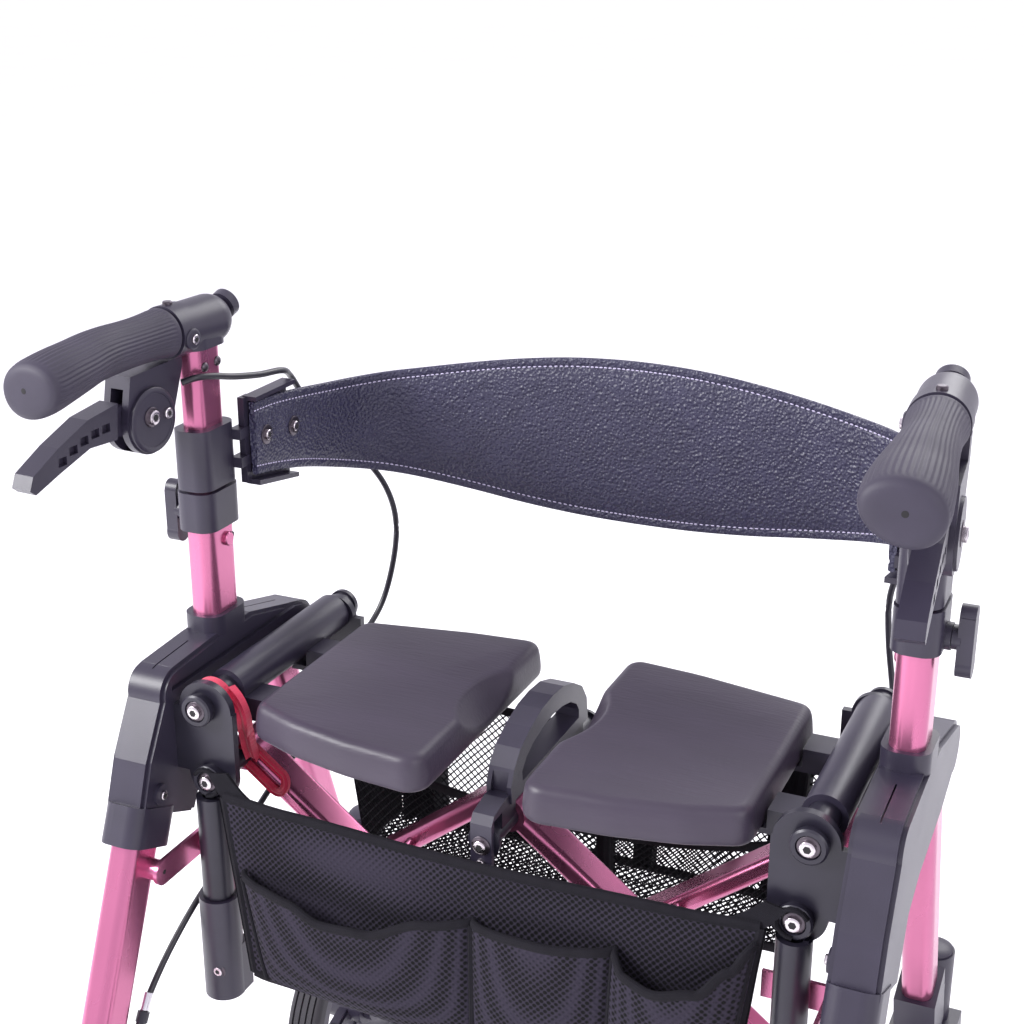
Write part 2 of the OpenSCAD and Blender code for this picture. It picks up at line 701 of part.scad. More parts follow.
module strap_holder_right() color(black) at() holder();

// outer brake cable, from the brake body down to the rear leg
cable_way = [
  [262.5, 50, 770], [254, 57, 773], [249, 72, 771], [246, 92, 766], [242, 120, 761],
  [241, 150, 757], [246, 170, 747], [249, 195, 722], [243, 225, 688], [232, 252, 660],
  [219, 268, 630], [211, 271, 600], [213, 270, 565], [221, 262, 525], [229, 238, 499],
  [236, 205, 476], [238, 150, 440], [238, 90, 420], [238, 40, 398], [243, 0, 378],
  [249, -34, 350], [250.8, -62, 325], [250.8, -84, 300]
];
module cable() skin(
  let (p = smooth(cable_way, 4), d = dirs(p))
  [for (i = [0:len(p) - 1]) ring_at(p[i], d[i], 2.5, 8)]);
module brake_cable_left() color(black) at() flip() cable();
module brake_cable_right() color(black) at() cable();

// ---------- drawing ----------
centre_tube();
lift_handle();
organiser_bag();
net_bag();
backrest_strap();
lock_strap();
brace_a();
brace_b();
brace_c();
brace_d();
housing_left();
housing_right();
outer_post_left();
outer_post_right();
rear_leg_left();
rear_leg_right();
front_leg_left();
front_leg_right();
seat_rail_left();
seat_rail_right();
bracket_left();
bracket_right();
clamp_collar_left();
clamp_collar_right();
leg_feet_left();
leg_feet_right();
brake_cable_left();
brake_cable_right();
guide_rod_left();
guide_rod_right();
inner_post_left();
inner_post_right();
handle_head_left();
handle_head_right();
grip_left();
grip_right();
strap_holder_left();
strap_holder_right();
brake_lever_left();
brake_lever_right();
height_knob_left();
height_knob_right();
rear_rim_left();
rear_rim_right();
rear_tyre_left();
rear_tyre_right();
brake_arm_left();
brake_arm_right();
caster_fork_left();
caster_fork_right();
front_rim_left();
front_rim_right();
front_tyre_left();
front_tyre_right();
seat_pad_left();
seat_pad_right();
seat_base_left();
seat_base_right();
slider_left();
slider_right();
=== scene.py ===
import bpy
import bmesh
import json
import math
from mathutils import Vector, Matrix


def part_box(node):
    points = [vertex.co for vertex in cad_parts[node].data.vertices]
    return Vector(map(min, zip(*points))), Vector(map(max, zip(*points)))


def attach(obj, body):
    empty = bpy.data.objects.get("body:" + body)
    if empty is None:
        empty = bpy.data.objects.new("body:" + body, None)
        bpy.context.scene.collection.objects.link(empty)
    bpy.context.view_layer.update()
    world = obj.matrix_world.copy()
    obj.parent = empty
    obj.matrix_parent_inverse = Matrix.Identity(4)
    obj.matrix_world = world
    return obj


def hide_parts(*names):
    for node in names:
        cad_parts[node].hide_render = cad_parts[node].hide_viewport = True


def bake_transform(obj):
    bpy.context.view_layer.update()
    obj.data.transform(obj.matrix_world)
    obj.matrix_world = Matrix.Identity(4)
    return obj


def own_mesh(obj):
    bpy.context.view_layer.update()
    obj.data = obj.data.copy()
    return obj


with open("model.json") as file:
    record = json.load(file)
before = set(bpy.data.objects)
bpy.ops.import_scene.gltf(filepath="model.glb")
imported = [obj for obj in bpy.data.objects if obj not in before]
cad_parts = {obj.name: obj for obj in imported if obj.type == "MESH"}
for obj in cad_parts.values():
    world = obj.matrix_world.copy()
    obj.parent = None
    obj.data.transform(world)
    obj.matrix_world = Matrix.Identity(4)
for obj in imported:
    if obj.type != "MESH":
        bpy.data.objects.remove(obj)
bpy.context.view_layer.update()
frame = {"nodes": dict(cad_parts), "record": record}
nodes = frame["nodes"]

# ---------------------------------------------------------------- frame of reference
# Lengths below are millimetres, in the design's own coordinates; M() turns them into metres in the frame.
# The seat rails' height and the posts' place are worked out from the box of the right-hand outer post.
post_lo, post_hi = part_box("outer_post_right")
POST_Y = 78                                          # the posts' centre, fore and aft
SHIFT = (post_lo.y + post_hi.y) / 2 * 1000 - POST_Y  # from the design's y to the frame's y
SR = post_lo.z * 1000 + 5.9                          # height of the seat rails
SX = (post_lo.x + post_hi.x) / 2 * 1000              # the posts' centre, from the middle
HX = SX + 2                                          # the grips' axis, from the middle
BX = SX + 10                                         # the brake bodies' centre, from the middle
YAW = math.radians(4)                                # how far a handle splays outward to the rear
GZ = SR + 262                                        # height of the grips' axis
LRX, LRZ = 219, 489                                  # the lower rails, from the middle and up
RX = 225                                             # the seat rails, from the middle
SIDES = {"left": -1, "right": 1}
UP, FORE, AFT = Vector((0, 0, 1)), Vector((0, 1, 0)), Vector((0, -1, 0))


def M(x, y, z):
    """A point of the design, in metres in the frame."""
    return Vector((x, y + SHIFT, z)) / 1000


def T(x, y, z):
    """Like M(), for the right-hand handle, which splays outward to the rear about its post."""
    dx, dy = x - SX, y - POST_Y
    cos, sin = math.cos(YAW), math.sin(YAW)
    return M(SX + dx * cos - dy * sin, POST_Y + dx * sin + dy * cos, z)


# ---------------------------------------------------------------- materials
def mat(name, colour, rough, metal=0.0, mottle=None, bumps=(), holes=None, coat=0.0, sheen=0.0, spec=0.5):
    """A Principled material with a mottled colour and roughness, or a pattern of holes filled with painted
    shade, and stacked bumps.
    """
    m = bpy.data.materials.new(name)
    m.use_nodes = True
    t, l = m.node_tree, m.node_tree.links
    s = t.nodes["Principled BSDF"]
    s.inputs["Base Color"].default_value = (*colour, 1)
    s.inputs["Roughness"].default_value = rough
    s.inputs["Metallic"].default_value = metal
    s.inputs["Coat Weight"].default_value = coat
    s.inputs["Coat Roughness"].default_value = 0.25
    s.inputs["Sheen Weight"].default_value = sheen
    s.inputs["Specular IOR Level"].default_value = spec
    tc = t.nodes.new("ShaderNodeTexCoord")

    def place(stretch=(1, 1, 1), turn=(0, 0, 0)):
        mp = t.nodes.new("ShaderNodeMapping")
        mp.inputs["Scale"].default_value = stretch
        mp.inputs["Rotation"].default_value = [math.radians(a) for a in turn]
        l.new(tc.outputs["Object"], mp.inputs["Vector"])
        return mp.outputs["Vector"]

    def texture(kind, scale, vec):
        if kind == "noise":
            n = t.nodes.new("ShaderNodeTexNoise")
            n.inputs["Detail"].default_value = 4
            out = n.outputs["Fac"]
        elif kind == "wave":
            n = t.nodes.new("ShaderNodeTexWave")
            n.wave_profile = "SIN"
            out = n.outputs["Fac"]
        else:
            n = t.nodes.new("ShaderNodeTexVoronoi")
            if kind == "lattice":
                n.inputs["Randomness"].default_value = 0.0
            if kind == "pebble":
                n.feature = "SMOOTH_F1"
            out = n.outputs["Distance"]
        n.inputs["Scale"].default_value = scale
        l.new(vec, n.inputs["Vector"])
        return out

    def ramp(fac, a, b, lo_at, hi_at):
        r = t.nodes.new("ShaderNodeValToRGB")
        r.color_ramp.elements[0].position, r.color_ramp.elements[1].position = lo_at, hi_at
        r.color_ramp.elements[0].color, r.color_ramp.elements[1].color = (*a, 1), (*b, 1)
        l.new(fac, r.inputs["Fac"])
        return r.outputs["Color"]

    if mottle:
        kind, scale, amount, stretch = mottle
        dark = [c * (1 - amount) for c in colour]
        light = [min(1, c * (1 + amount)) for c in colour]
        l.new(ramp(texture(kind, scale, place(stretch)), dark, light, 0.3, 0.7), s.inputs["Base Color"])
        wear = t.nodes.new("ShaderNodeMapRange")
        wear.inputs["To Min"].default_value = max(0.02, rough * 0.88)
        wear.inputs["To Max"].default_value = min(1, rough * 1.14)
        l.new(texture("noise", scale * 0.6, place(stretch)), wear.inputs["Value"])
        l.new(wear.outputs["Result"], s.inputs["Roughness"])
    # the holes are dots of painted shade: near-black colour where the openings would show their shaded inside
    if holes:
        kind, scale, hole_shade, lo_at, hi_at, turn = holes
        pattern = texture(kind, scale, place((1, 1, 1), turn))
        l.new(ramp(pattern, hole_shade, colour, lo_at, hi_at), s.inputs["Base Color"])
    normal = None
    for kind, scale, strength, dist, stretch, turn in bumps:
        b = t.nodes.new("ShaderNodeBump")
        b.inputs["Strength"].default_value = strength
        b.inputs["Distance"].default_value = dist
        l.new(texture(kind, scale, place(stretch, turn)), b.inputs["Height"])
        if normal:
            l.new(normal, b.inputs["Normal"])
        normal = b.outputs["Normal"]
    if normal:
        l.new(normal, s.inputs["Normal"])
    return m


# A mottle is (texture, scale, amount, stretch).
# A bump is (texture, scale, strength, depth in metres, stretch, turn in degrees).
# Holes are (texture, scale, the colour of the painted shade in the holes, where it ends, where the cloth
# starts, turn).
EVEN, STRAIGHT = (1, 1, 1), (0, 0, 0)
FINE = ("noise", 1600, 0.25, 0.0004, EVEN, STRAIGHT)
PINK = mat("frame_pink", (0.53, 0.165, 0.295), 0.27, 0.86, ("noise", 40, 0.03, (1, 1, 0.3)),
           [("noise", 900, 0.02, 0.0002, EVEN, STRAIGHT)])
PLASTIC = mat("black_plastic", (0.025, 0.021, 0.038), 0.36, 0, ("noise", 35, 0.10, EVEN), [FINE])
METAL = mat("black_metal", (0.017, 0.015, 0.026), 0.34, 0.15, ("noise", 50, 0.10, EVEN),
            [("noise", 1100, 0.12, 0.0003, EVEN, STRAIGHT)])
RUBBER = mat("grip_rubber", (0.030, 0.025, 0.044), 0.58, 0, ("noise", 40, 0.12, EVEN), [FINE])
TYRE = mat("tyre", (0.028, 0.026, 0.032), 0.72, 0, ("noise", 50, 0.12, EVEN),
           [("noise", 700, 0.3, 0.0005, EVEN, STRAIGHT)])
STEEL = mat("rod_steel", (0.60, 0.58, 0.62), 0.25, 1.0, ("noise", 80, 0.06, (1, 1, 0.1)),
            [("noise", 900, 0.06, 0.0002, (1, 1, 0.1), STRAIGHT)])
FOAM = mat("seat_foam", (0.036, 0.027, 0.046), 0.44, 0, ("noise", 30, 0.10, (0.4, 1, 1)),
           [("noise", 420, 0.35, 0.0006, (0.16, 1, 1), (0, 0, 6)),
            ("noise", 1500, 0.2, 0.0003, EVEN, STRAIGHT)])
# The mesh cloth's holes are painted near-black: painted shade in the openings, not cut holes.
MESH = mat("mesh_cloth", (0.024, 0.020, 0.034), 0.9, 0, None,
           [("lattice", 270, 0.9, 0.0010, (1, 0.02, 0.8), (0, 45, 0))],
           ("lattice", 270, (0.0008, 0.0007, 0.0014), 0.30, 0.56, (0, 45, 0)), spec=0.25)
CLOTH = mat("cloth_binding", (0.007, 0.0062, 0.010), 0.9, 0, ("noise", 90, 0.15, EVEN),
            [("wave", 420, 0.5, 0.0004, EVEN, (0, 45, 0)), ("wave", 420, 0.5, 0.0004, EVEN, (0, -45, 0))],
            spec=0.25)
LEATHER = mat("strap_leather", (0.029, 0.027, 0.060), 0.40, 0, ("noise", 40, 0.10, EVEN),
              [("pebble", 460, 1.0, 0.0016, EVEN, STRAIGHT), ("noise", 900, 0.2, 0.0003, EVEN, STRAIGHT)])
THREAD = mat("pale_thread", (0.50, 0.46, 0.62), 0.8, 0, ("noise", 800, 0.12, EVEN), [FINE])
RED = mat("red_webbing", (0.62, 0.010, 0.065), 0.55, 0, ("noise", 90, 0.12, EVEN),
          [("wave", 600, 0.4, 0.0003, EVEN, STRAIGHT), ("wave", 600, 0.4, 0.0003, EVEN, (0, 90, 0))],
          sheen=0.3)
CABLE = mat("cable_black", (0.014, 0.013, 0.020), 0.32, 0, ("noise", 60, 0.10, EVEN), [FINE])
SCREW = mat("screw_steel", (0.62, 0.57, 0.60), 0.22, 1.0, ("noise", 300, 0.08, EVEN), [FINE])
DARKSTEEL = mat("dark_steel", (0.10, 0.085, 0.10), 0.28, 0.9, ("noise", 300, 0.08, EVEN), [FINE])
# Near-black painted shade, put on flat discs that stand for the shade inside screw sockets and the grip's end
# hole.
HOLE_SHADE = mat("recess_dark", (0.006, 0.005, 0.007), 0.7, 0, ("noise", 300, 0.1, EVEN), [FINE])

BY_SLOT = {"frame_pink": PINK, "black_plastic": PLASTIC, "black_metal": METAL, "grip_rubber": RUBBER,
           "tyre": TYRE, "rod_steel": STEEL, "seat_foam": FOAM, "mesh_cloth": MESH, "strap_leather": LEATHER,
           "red_webbing": RED, "cable_black": CABLE}
SLOT_OF = {p["node"]: p["material_slot"] for p in frame["record"]["subparts"]}
# Width in millimetres of the rounding on each CAD node's edges; the other nodes keep sharp edges.
BEVEL = {"housing": 2.2, "handle_head": 1.6, "strap_holder": 1.2, "clamp_collar": 1.6, "height_knob": 1.6,
         "brake_lever": 1.3, "bracket": 0.9, "slider": 1.4, "leg_feet": 1.2, "caster_fork": 1.6,
         "lift_handle": 2.0, "rear_rim": 1.0, "front_rim": 1.0, "brake_arm": 0.9, "seat_base": 0.8,
         "centre_tube": 0.6, "rear_leg": 0.4, "front_leg": 0.4, "seat_rail": 0.8, "rear_tyre": 0.5,
         "front_tyre": 0.5}
for name, o in nodes.items():
    m = BY_SLOT[SLOT_OF[name]]
    o.data.materials.clear()
    o.data.materials.append(m)
    o.data.shade_smooth()
    kind = name.replace("_left", "").replace("_right", "")
    if BEVEL.get(kind):
        b = o.modifiers.new("edge", "BEVEL")
        b.width = BEVEL[kind] / 1000
        b.segments = 3
        b.limit_method = "ANGLE"
        b.angle_limit = math.radians(38)
        b.use_clamp_overlap = True
        b.harden_normals = True
    else:
        e = o.modifiers.new("edge", "EDGE_SPLIT")
        e.split_angle = math.radians(32)


# ---------------------------------------------------------------- building blocks
def piece(name, verts, faces, m, body, slot=None, smooth=True, crease=40):
    """A new object from its mesh; edges sharper than crease degrees stay sharp, and 0 smooths them all."""
    d = bpy.data.meshes.new(name)
    d.from_pydata([tuple(v) for v in verts], [], faces)
    d.materials.append(m)
    if smooth:
        d.shade_smooth()
        if crease:
            d.set_sharp_from_angle(angle=math.radians(crease))
    o = bpy.data.objects.new(name, d)
    bpy.context.scene.collection.objects.link(o)
    fix_normals(o)
    if body:
        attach(o, body)
    return o


def fix_normals(o):
    """Turns every face outward."""
    bm = bmesh.new()
    bm.from_mesh(o.data)
    bmesh.ops.recalc_face_normals(bm, faces=bm.faces)
    bm.to_mesh(o.data)
    bm.free()


def skin(rings, n):
    """Faces of a tube of rings of n points each, with both ends closed."""
    faces = [(i * n + k, i * n + (k + 1) % n, (i + 1) * n + (k + 1) % n, (i + 1) * n + k)
             for i in range(rings - 1) for k in range(n)]
    return faces + [tuple(range(n - 1, -1, -1)), tuple(range((rings - 1) * n, rings * n))]


def lathe(profile, centre, axis, n=32):
    """Rings of (radius, height) along an axis, with both ends closed."""
    q = Vector(axis).normalized().to_track_quat("Z", "Y")
    verts = []
    for r, h in profile:
        for k in range(n):
            a = 2 * math.pi * k / n
            verts.append(Vector(centre) + q @ Vector((r * math.cos(a), r * math.sin(a), h)) / 1000)
    return verts, skin(len(profile), n)


def turned(name, profile, at, axis, n, m, body, slot):
    """A piece turned on a lathe."""
    return piece(name, *lathe(profile, at, axis, n), m, body, slot)


def join(parts):
    """Several (verts, faces) as one."""
    verts, faces = [], []
    for v, f in parts:
        k = len(verts)
        verts += list(v)
        faces += [tuple(i + k for i in g) for g in f]
    return verts, faces


def screw(name, at, axis, r, body, washer=0.0):
    """Cap screw with a hexagon socket, and a washer under it when its radius is given."""
    h = r * 0.75
    head = [(r * 0.97, -0.2), (r, 0.15), (r, h - 0.5), (r * 0.86, h), (r * 0.56, h)]
    turned(name, head, at, axis, 28, SCREW, body, "rod_steel")
    # The socket is a flat dark hexagon just proud of the head: painted shade in place of a recess.
    socket = [(r * 0.54, h - 0.6), (r * 0.54, h + 0.06)]
    piece(name + "_socket", *lathe(socket, at, axis, 6), HOLE_SHADE, body, "black_metal", False)
    if washer:
        disc = [(washer, -0.2), (washer, 0.45), (washer - 0.3, 0.7), (r, 0.7)]
        turned(name + "_washer", disc, at, axis, 36, DARKSTEEL, body, "rod_steel")


def curve_points(p, k):
    """A smooth curve through the points p, with k steps between each two."""
    out = []
    for i in range(len(p) - 1):
        a, b, c, d = p[max(i - 1, 0)], p[i], p[i + 1], p[min(i + 2, len(p) - 1)]
        for j in range(k):
            t = j / k
            out.append([0.5 * (2 * b[m] + (c[m] - a[m]) * t
                               + (2 * a[m] - 5 * b[m] + 4 * c[m] - d[m]) * t * t
                               + (3 * b[m] - a[m] - 3 * c[m] + d[m]) * t ** 3) for m in range(len(b))])
    out.append(list(p[-1]))
    return out


def sweep(path, section, closed_path=False, up=UP):
    """A closed cross-section (u, v in mm) carried along a path of Vectors in metres."""
    n, k = len(path), len(section)
    verts, faces = [], []
    for i, c in enumerate(path):
        a = path[(i - 1) % n] if (closed_path or i) else path[i]
        b = path[(i + 1) % n] if (closed_path or i < n - 1) else path[i]
        d = (b - a).normalized()
        s = d.cross(up)
        s = s.normalized() if s.length > 1e-4 else Vector((1, 0, 0))
        w = s.cross(d).normalized()
        verts += [c + (s * u + w * v) / 1000 for u, v in section]
    for i in range(n if closed_path else n - 1):
        j = (i + 1) % n
        faces += [(i * k + q, i * k + (q + 1) % k, j * k + (q + 1) % k, j * k + q) for q in range(k)]
    if not closed_path:
        faces += [tuple(range(k - 1, -1, -1)), tuple(range((n - 1) * k, n * k))]
    return verts, faces


def circle(r, n=10):
    """The cross-section of a round cord."""
    return [(r * math.cos(2 * math.pi * i / n), r * math.sin(2 * math.pi * i / n)) for i in range(n)]


def flat_section(w, t, n=4):
    """A band w wide (v) and t thick (u) with round edges."""
    out = []
    for s in (1, -1):
        for i in range(n + 1):
            a = math.pi * i / n - (0 if s > 0 else math.pi)
            out.append((t / 2 * math.cos(a), s * (w / 2 - t / 2) + t / 2 * math.sin(a)))
    return out


def slab(name, f, nu, nv, thick, m, body, slot):
    """A cloth sheet: f(u, v) in mm on a grid, given its real thickness with closed edges."""
    g = [[Vector(f(i / nu, j / nv)) for j in range(nv + 1)] for i in range(nu + 1)]
    front, back = [], []
    for i in range(nu + 1):
        for j in range(nv + 1):
            du = g[min(i + 1, nu)][j] - g[max(i - 1, 0)][j]
            dv = g[i][min(j + 1, nv)] - g[i][max(j - 1, 0)]
            n = du.cross(dv)
            n = n.normalized() if n.length > 1e-9 else Vector((0, -1, 0))
            c = g[i][j]
            front.append(M(*(c + n * thick / 2)))
            back.append(M(*(c - n * thick / 2)))
    w, off = nv + 1, (nu + 1) * (nv + 1)
    faces = []
    for i in range(nu):
        for j in range(nv):
            a, b, c, d = i * w + j, (i + 1) * w + j, (i + 1) * w + j + 1, i * w + j + 1
            faces += [(a, b, c, d), (off + d, off + c, off + b, off + a)]
    rim = ([(i, 0) for i in range(nu)] + [(nu, j) for j in range(nv)]
           + [(i, nv) for i in range(nu, 0, -1)] + [(0, j) for j in range(nv, 0, -1)])
    for q in range(len(rim)):
        a = rim[q][0] * w + rim[q][1]
        b = rim[(q + 1) % len(rim)][0] * w + rim[(q + 1) % len(rim)][1]
        faces.append((a, off + a, off + b, b))
    return piece(name, front + back, faces, m, body, slot, True, 60)


def tape(name, line, section, up=UP, body="centre"):
    """A strip of binding tape along a line."""
    return piece(name, *sweep(line, section, up=up), CLOTH, body, "mesh_cloth")


def applied(o):
    """Makes an object's modifiers part of its mesh."""
    dg = bpy.context.evaluated_depsgraph_get()
    d = bpy.data.meshes.new_from_object(o.evaluated_get(dg))
    old = o.data
    o.modifiers.clear()
    o.data = d
    bpy.data.meshes.remove(old)
    return o


def mirrored(v, s):
    """A point of the right-hand side, moved to the side s."""
    return Vector((v[0] * s, v[1], v[2]))


# ---------------------------------------------------------------- seat pads
def rounded(corners, step=3.0):
    """Closed outline from (x, y, radius) corners, anticlockwise."""
    out = []
    n = len(corners)
    for i in range(n):
        p = Vector(corners[i][:2])
        a = (Vector(corners[i - 1][:2]) - p)
        b = (Vector(corners[(i + 1) % n][:2]) - p)
        r = corners[i][2]
        half = a.angle(b) / 2
        cut = min(r / math.tan(half), a.length * 0.49, b.length * 0.49)
        r = cut * math.tan(half)
        c = p + (a.normalized() + b.normalized()).normalized() * (r / math.sin(half))
        s, e = p + a.normalized() * cut - c, p + b.normalized() * cut - c
        turn = s.angle_signed(e)
        k = max(3, int(abs(turn) * r / step))
        for q in range(k + 1):
            cos, sin = math.cos(-turn * q / k), math.sin(-turn * q / k)
            out.append((c.x + s.x * cos - s.y * sin, c.y + s.x * sin + s.y * cos))
    return out


pad_lo, pad_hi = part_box("seat_pad_right")
PX0, PX1 = pad_lo.x * 1000, pad_hi.x * 1000
PY0, PY1 = pad_lo.y * 1000 - SHIFT, pad_hi.y * 1000 - SHIFT
PZ0, PZ1 = pad_lo.z * 1000, pad_hi.z * 1000
outline = rounded([(PX0, PY0 - 2, 17), (PX0 + 64, PY0 + 3.5, 120), (PX0 + 112, PY0 + 13.5, 90),
                   (PX1, PY0 + 29, 15), (PX1, PY1 - 21, 14), (PX0 + 60, PY1 - 4, 120), (PX0, PY1 + 1.5, 14)])
mid = Vector((sum(p[0] for p in outline) / len(outline), sum(p[1] for p in outline) / len(outline)))
TOP_INSET = 8.0    # how far the flat top lies inside the outline
CROWN_RINGS = 13   # rings between the top's edge and its middle
CROWN = 1.6        # how far the middle stands above the top's edge


def inset(pts, d):
    """The outline, moved inward by d."""
    out = []
    n = len(pts)
    for i in range(n):
        t = (Vector(pts[(i + 1) % n]) - Vector(pts[i - 1]))
        t = t.normalized() if t.length > 1e-6 else Vector((1, 0))
        q = Vector(pts[i]) + Vector((-t.y, t.x)) * d
        out.append((q.x, q.y))
    return out


def make_pad(side):
    """A moulded pad with rounded edges, dished on top beside the lifting handle."""
    s = SIDES[side]
    rings = [(PZ0, 5.0), (PZ0 + 0.5, 2.5), (PZ0 + 2.5, 0.6), (PZ0 + 8, 0.2), (PZ0 + 17, 1.0),
             (PZ1 - 6.5, 1.8), (PZ1 - 3.6, 2.8), (PZ1 - 1.6, 5.0), (PZ1 - 0.5, TOP_INSET)]
    verts = []
    for z, d in rings:
        verts += [M(x, y, z) for x, y in inset(outline, d)]
    top = inset(outline, TOP_INSET)
    for k in range(1, CROWN_RINGS + 1):
        f = 1 - k / (CROWN_RINGS + 1)
        for x, y in top:
            q = mid + (Vector((x, y)) - mid) * f
            verts.append(M(q.x, q.y, PZ1 - 0.5 + CROWN * (1 - f * f)))
    faces = skin(len(rings) + CROWN_RINGS, len(outline))
    o = piece("seat_cushion_" + side, [mirrored(v, s) for v in verts], faces, FOAM, None, "seat_foam", True, 0)
    # a ball beside and above the pad's inner edge cuts the dish, then the mesh is evened out and softened
    ball = bpy.data.meshes.new("dish")
    bm = bmesh.new()
    bmesh.ops.create_uvsphere(bm, u_segments=160, v_segments=100, radius=0.1,
                              matrix=Matrix.Translation(mirrored(M(PX0 - 68, 82, SR + 61), s)))
    bm.to_mesh(ball)
    bm.free()
    tool = bpy.data.objects.new("dish_" + side, ball)
    bpy.context.scene.collection.objects.link(tool)
    cut = o.modifiers.new("dish", "BOOLEAN")
    cut.operation, cut.object, cut.solver = "DIFFERENCE", tool, "EXACT"
    applied(o)
    r = o.modifiers.new("even", "REMESH")
    r.mode, r.voxel_size, r.use_smooth_shade = "VOXEL", 0.0018, True
    sm = o.modifiers.new("soft", "SMOOTH")
    sm.factor, sm.iterations = 0.5, 7
    applied(o)
    bpy.data.objects.remove(tool)
    o.data.materials.clear()
    o.data.materials.append(FOAM)
    o.data.shade_smooth()
    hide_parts("seat_pad_" + side)
    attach(o, "seat_" + side)


for side in SIDES:
    make_pad(side)

# ---------------------------------------------------------------- backrest strap
# Half of the strap, from its end to its middle: x, y, and its lower and upper edge above the seat rails.
HALF = [(240, 104, 142, 199), (241, 135, 136, 197), (240, 170, 128, 193), (236, 205, 118, 189),
        (226, 238, 108, 187), (208, 260, 101, 188), (182, 273, 95, 191), (140, 281, 88, 198),
        (96, 284, 82, 205), (50, 286, 78, 210), (0, 286, 77, 212)]
WHOLE = [(-x, y, a, b) for x, y, a, b in HALF] + HALF[-2::-1]
path = curve_points(WHOLE, 6)
STRAP_HALF = 2.3     # half of the strap's thickness
SEAM_PULL = 0.72     # what the seam leaves of it
SEAM_IN = 7.0        # from the strap's edge to its stitches
STITCH_PITCH = 3.6
STITCH_END = 3.0     # where a stitch ends, from the start of its pitch


def outward(points, i):
    """The strap's level normal at one of its points."""
    a, b = points[max(i - 1, 0)], points[min(i + 1, len(points) - 1)]
    d = Vector((b[0] - a[0], b[1] - a[1], 0)).normalized()
    return Vector((-d.y, d.x, 0))


def strap_point(i, up, out):
    """A point of the strap: up is 0 at its lower edge and 1 at its upper one, out is along its normal."""
    p = path[i]
    c = Vector((p[0], p[1], SR + p[2] + (p[3] - p[2]) * up)) + outward(path, i) * out
    return M(*c)


def strap_shape():
    """The band, rounded at its edges, pulled in along its two seams and slightly crowned between them."""
    edge = [(0, 0.0), (0.45, 0.75), (1.4, 1.0), (5.2, 1.0), (6.4, SEAM_PULL), (7.6, SEAM_PULL), (8.8, 0.96)]
    verts, n = [], 0
    for i in range(len(path)):
        h = path[i][3] - path[i][2]
        sec = [(e / h, w * STRAP_HALF) for e, w in edge]
        sec += [(q, STRAP_HALF * (0.98 + 0.22 * math.sin(math.pi * q)))
                for q in (0.2, 0.35, 0.5, 0.65, 0.8)]
        sec += [(1 - e / h, w * STRAP_HALF) for e, w in reversed(edge)]
        full = sec + [(u, -o) for u, o in reversed(sec[1:-1])]
        n = len(full)
        verts += [strap_point(i, u, o) for u, o in full]
    return verts, skin(len(path), n)


strap = piece("backrest_band", *strap_shape(), LEATHER, "strap", "strap_leather", True, 50)
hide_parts("backrest_strap")
soft = [strap]


def stitch(start, end, normal):
    """One stitch, raised in its middle and sunk into the strap at both ends."""
    along = (end - start).normalized()
    s0, s1 = start + along * 0.35, start + along * STITCH_END
    verts = []
    for q, w in ((s0, 0.30), (s0 * 0.7 + s1 * 0.3, 0.55), (s0 * 0.3 + s1 * 0.7, 0.55), (s1, 0.30)):
        lift = normal * (0.45 if w > 0.4 else 0.0)
        verts += [M(*(q + UP * w)), M(*(q + lift)), M(*(q - UP * w)), M(*(q - normal * 0.25))]
    faces = [(r * 4 + m, r * 4 + (m + 1) % 4, (r + 1) * 4 + (m + 1) % 4, (r + 1) * 4 + m)
             for r in range(3) for m in range(4)]
    return verts, faces + [(0, 1, 2, 3), (15, 14, 13, 12)]


def stitches():
    """Short raised stitches along both edges, on both faces of the strap."""
    parts = []
    dense = curve_points(WHOLE, 40)
    for low_edge in (True, False):
        for out in (1, -1):
            run, last, start = 0.0, None, None
            for i, p in enumerate(dense):
                n = outward(dense, i)
                z = SR + (p[2] + SEAM_IN if low_edge else p[3] - SEAM_IN)
                c = Vector((p[0], p[1], z)) + n * (STRAP_HALF * SEAM_PULL + 0.15) * out
                if last is not None:
                    run += (c - last).length
                last = c
                if start is None:
                    start, run = c, 0.0
                elif run > STITCH_PITCH:
                    if (c - start).length > STITCH_END:
                        parts.append(stitch(start, c, n * out))
                    start, run = c, 0.0
    return join(parts)


thread = piece("strap_stitching", *stitches(), THREAD, "strap", "strap_leather", False)
soft.append(thread)
for o in soft:
    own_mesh(o)
for side, s in SIDES.items():
    for y, z in ((119, 170), (158, 166)):
        at = mirrored(M(237.7, y, SR + z), s)
        screw(f"strap_screw_{side}_{y}", at, (-s, 0, 0), 3.9, "post_" + side, 7.6)

# ---------------------------------------------------------------- organiser
def lerp(pts, x):
    """The height at x of a smooth line through the points (x, height)."""
    if x <= pts[0][0]:
        return pts[0][1]
    for (a, za), (b, zb) in zip(pts, pts[1:]):
        if x <= b:
            t = (x - a) / (b - a)
            t = t * t * (3 - 2 * t)
            return za + (zb - za) * t
    return pts[-1][1]


TOP = [(-205, SR - 60), (-150, SR - 63), (0, SR - 66), (150, SR - 63), (205, SR - 60)]
LOW = [(-205, SR - 200), (-170, SR - 206), (0, SR - 210), (170, SR - 206), (205, SR - 200)]


def panel(u, v):
    """The organiser's panel: u runs across it and v down it."""
    w = 200 - 18 * v
    x = -w + 2 * w * u
    y = -20.5 - 2.0 * math.sin(math.pi * u) - 1.5 * math.sin(3 * math.pi * v) * math.sin(2.4 * math.pi * u)
    top, low = lerp(TOP, x), lerp(LOW, x)
    return (x, y, top + (low - top) * v)


org = slab("organiser_panel", panel, 60, 24, 3.4, MESH, "centre", "mesh_cloth")
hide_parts("organiser_bag")
hung = [org]
